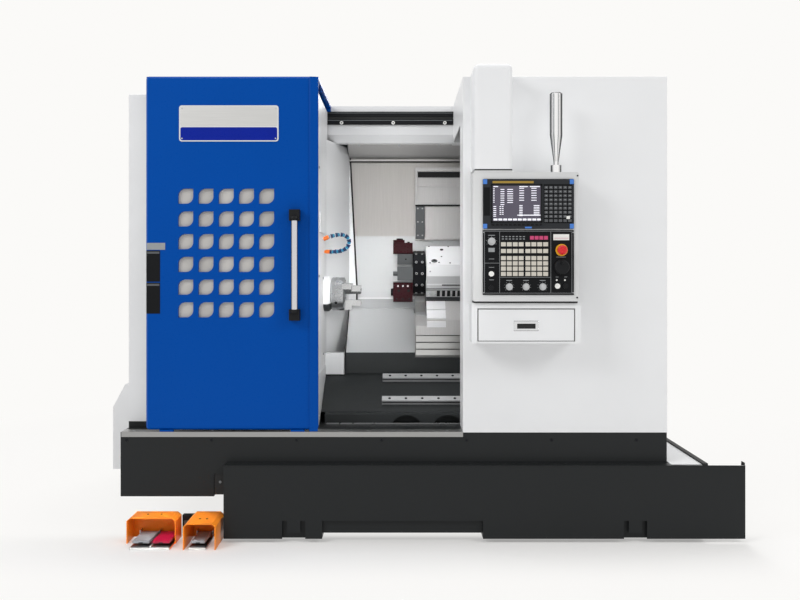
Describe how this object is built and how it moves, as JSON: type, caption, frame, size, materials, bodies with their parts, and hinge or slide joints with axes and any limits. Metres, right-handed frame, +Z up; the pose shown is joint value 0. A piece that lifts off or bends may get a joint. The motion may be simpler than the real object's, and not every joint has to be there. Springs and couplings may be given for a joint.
{
  "type": "turn-mill machine",
  "caption": "Slant-bed turn-mill machine with a sliding perforated door, chuck, live tool turret, swivelling control pendant, coolant tank and foot switches",
  "frame": {"origin": "on the floor, below the middle of the overall box", "axes": "+X to the operator's right along the spindle, +Y to the back, +Z up"},
  "size_m": [2.962, 1.9686, 2.034],
  "materials": {
    "dark_paint": "satin black enamel",
    "white_paint": "satin white enamel",
    "grey_paint": "satin light grey enamel",
    "blue_paint": "gloss blue enamel",
    "orange_paint": "gloss orange enamel",
    "maroon_paint": "dark red enamel",
    "cast_iron": "dark painted casting",
    "stainless": "brushed stainless sheet",
    "ground_steel": "ground steel",
    "black_steel": "blackened steel",
    "aluminium": "anodised aluminium",
    "window": "grey-beige sheet behind the holes",
    "black_plastic": "moulded black plastic",
    "grey_plastic": "moulded grey plastic",
    "red_plastic": "moulded red plastic",
    "chrome": "polished metal and clear lamp",
    "hose": "moulded hose segments"
  },
  "bodies": {
    "machine": {"base_pan": "dark_paint", "bed_casting": "cast_iron", "levelling_feet": "black_steel", "coolant_tank": "dark_paint", "door_sill": "stainless", "left_front_panel": "white_paint", "left_side_panel": "white_paint", "right_front_panel": "white_paint", "right_jamb": "white_paint", "right_side_panel": "white_paint", "rear_cover": "white_paint", "roof_panel": "white_paint", "header_beam": "white_paint", "door_rails": "black_steel", "headstock_liner": "white_paint", "back_wall": "stainless", "chip_guard": "white_paint", "headstock": "cast_iron", "service_box": "grey_paint", "electrical_cabinet": "white_paint", "linear_rails": "ground_steel", "coolant_hose": "hose", "pendant_column": "white_paint", "drawer_case": "white_paint", "foot_switch_double": "orange_paint", "foot_switch_single": "orange_paint"},
    "door": {"door_skin": "blue_paint", "door_roof": "blue_paint", "door_window": "window", "door_handle": "aluminium"},
    "spindle": {"spindle_shaft": "ground_steel", "chuck_body": "ground_steel"},
    "jaw_1": {"chuck_jaw_1": "ground_steel"},
    "jaw_2": {"chuck_jaw_2": "ground_steel"},
    "jaw_3": {"chuck_jaw_3": "ground_steel"},
    "saddle": {"saddle": "cast_iron", "saddle_skirt": "stainless", "saddle_back_cover": "stainless"},
    "cross_slide": {"cross_slide": "ground_steel", "turret_housing": "white_paint"},
    "turret": {"turret_disc": "black_steel", "live_tool_holders": "maroon_paint", "static_tool_holders": "ground_steel"},
    "tailstock": {"tailstock_body": "white_paint"},
    "quill": {"tailstock_quill": "ground_steel"},
    "pendant": {"pendant_box": "white_paint", "display_unit": "black_plastic", "operator_panel": "black_plastic", "signal_lamp": "chrome"},
    "mode_knob": {"mode_knob": "black_plastic"},
    "override_knob_1": {"override_knob_1": "aluminium"},
    "override_knob_2": {"override_knob_2": "aluminium"},
    "override_knob_3": {"override_knob_3": "aluminium"},
    "emergency_stop": {"emergency_stop": "red_plastic"},
    "handwheel": {"handwheel": "black_plastic"},
    "drawer": {"drawer": "white_paint"},
    "treadle_left": {"treadle_left": "grey_plastic"},
    "treadle_middle": {"treadle_middle": "red_plastic"},
    "treadle_right": {"treadle_right": "grey_plastic"},
    "cabinet_door": {"cabinet_door": "white_paint"}
  },
  "joints": [
    {"name": "door_slide", "type": "slide", "parent": "machine", "child": "door", "axis": [1, 0, 0], "range_m": [0, 0.628]},
    {"name": "spindle_spin", "type": "hinge", "parent": "machine", "child": "spindle", "pos_m": [-0.3, -0.35, 1.052], "axis": [1, 0, 0], "continuous": true},
    {"name": "jaw_1_slide", "type": "slide", "parent": "spindle", "child": "jaw_1", "axis": [0, 0, -1], "range_m": [-0.008, 0.004]},
    {"name": "jaw_2_slide", "type": "slide", "parent": "spindle", "child": "jaw_2", "axis": [0, 0.866, 0.5], "range_m": [-0.008, 0.004]},
    {"name": "jaw_3_slide", "type": "slide", "parent": "spindle", "child": "jaw_3", "axis": [0, -0.866, 0.5], "range_m": [-0.008, 0.004]},
    {"name": "saddle_slide", "type": "slide", "parent": "machine", "child": "saddle", "axis": [1, 0, 0], "range_m": [-0.1, 0.2]},
    {"name": "cross_slide_travel", "type": "slide", "parent": "saddle", "child": "cross_slide", "axis": [0, -0.866, -0.5], "range_m": [-0.03, 0.12]},
    {"name": "turret_index", "type": "hinge", "parent": "cross_slide", "child": "turret", "pos_m": [0.1, -0.1768, 1.152], "axis": [1, 0, 0], "continuous": true},
    {"name": "tailstock_slide", "type": "slide", "parent": "machine", "child": "tailstock", "axis": [1, 0, 0], "range_m": [-0.18, 0]},
    {"name": "quill_slide", "type": "slide", "parent": "tailstock", "child": "quill", "axis": [1, 0, 0], "range_m": [-0.08, 0]},
    {"name": "pendant_swivel", "type": "hinge", "parent": "machine", "child": "pendant", "pos_m": [0.3895, -0.911, 1.6], "axis": [0, 0, -1], "range_deg": [0, 90]},
    {"name": "mode_knob_turn", "type": "hinge", "parent": "pendant", "child": "mode_knob", "pos_m": [0.381, -0.948, 1.289], "axis": [0, 1, 0], "range_deg": [-120, 120]},
    {"name": "emergency_stop_push", "type": "slide", "parent": "pendant", "child": "emergency_stop", "axis": [0, 1, 0], "range_m": [0, 0.006]},
    {"name": "handwheel_spin", "type": "hinge", "parent": "pendant", "child": "handwheel", "pos_m": [0.672, -0.948, 1.182], "axis": [0, 1, 0], "continuous": true},
    {"name": "drawer_slide", "type": "slide", "parent": "machine", "child": "drawer", "axis": [0, -1, 0], "range_m": [0, 0.09]},
    {"name": "cabinet_door_swing", "type": "hinge", "parent": "machine", "child": "cabinet_door", "pos_m": [-0.7699, 0.9733, 1.23], "axis": [0, 0, 1], "range_deg": [0, 110]},
    {"name": "override_knob_1_turn", "type": "hinge", "parent": "pendant", "child": "override_knob_1", "pos_m": [0.4545, -0.948, 1.1], "axis": [0, 1, 0], "range_deg": [-135, 135]},
    {"name": "override_knob_2_turn", "type": "hinge", "parent": "pendant", "child": "override_knob_2", "pos_m": [0.5242, -0.948, 1.1], "axis": [0, 1, 0], "range_deg": [-135, 135]},
    {"name": "override_knob_3_turn", "type": "hinge", "parent": "pendant", "child": "override_knob_3", "pos_m": [0.5939, -0.948, 1.1], "axis": [0, 1, 0], "range_deg": [-135, 135]},
    {"name": "treadle_left_press", "type": "hinge", "parent": "machine", "child": "treadle_left", "pos_m": [-1.0875, -0.79, 0.025], "axis": [1, 0, 0], "range_deg": [0, 5], "stiffness_Nm_per_rad": 60, "springref_deg": -3.44},
    {"name": "treadle_middle_press", "type": "hinge", "parent": "machine", "child": "treadle_middle", "pos_m": [-1.003, -0.79, 0.025], "axis": [1, 0, 0], "range_deg": [0, 5], "stiffness_Nm_per_rad": 60, "springref_deg": -3.44},
    {"name": "treadle_right_press", "type": "hinge", "parent": "machine", "child": "treadle_right", "pos_m": [-0.848, -0.79, 0.025], "axis": [1, 0, 0], "range_deg": [0, 5], "stiffness_Nm_per_rad": 60, "springref_deg": -3.44}
  ],
  "couplings": [
    {"joint": "jaw_2_slide", "follows": "jaw_1_slide", "ratio": 1},
    {"joint": "jaw_3_slide", "follows": "jaw_1_slide", "ratio": 1}
  ]
}
